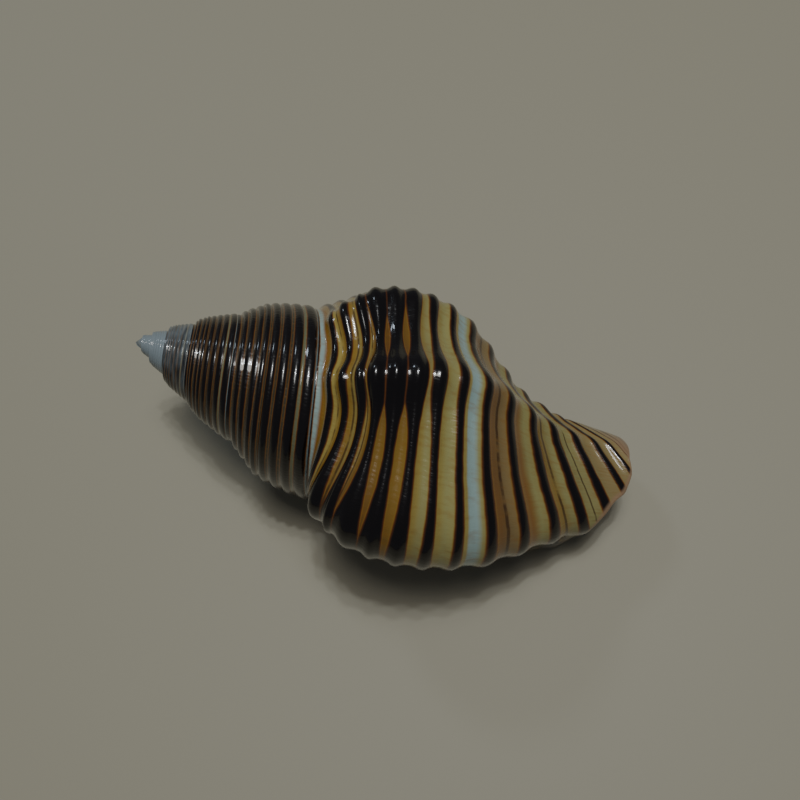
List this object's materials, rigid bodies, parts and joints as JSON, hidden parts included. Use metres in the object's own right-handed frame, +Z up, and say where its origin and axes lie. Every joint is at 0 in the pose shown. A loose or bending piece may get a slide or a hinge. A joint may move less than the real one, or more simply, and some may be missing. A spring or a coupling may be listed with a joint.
{
  "type": "whelk shell",
  "caption": "Spindle-shaped sea snail shell with spiral cords, low folds along it, an oval mouth and a short open canal.",
  "frame": {"origin": "middle of the footprint, on the surface the shell lies on", "axes": "+X towards the canal's end, along the coiling axis seen from above; +Z up, with the mouth facing down"},
  "size_m": [0.0356, 0.0194, 0.0163],
  "materials": {
    "shell": "glossy shell: near-black cords over yellow-brown, with a few pale bands; white and smooth inside the mouth"
  },
  "bodies": {
    "root": {"shell": "shell"}
  },
  "joints": []
}
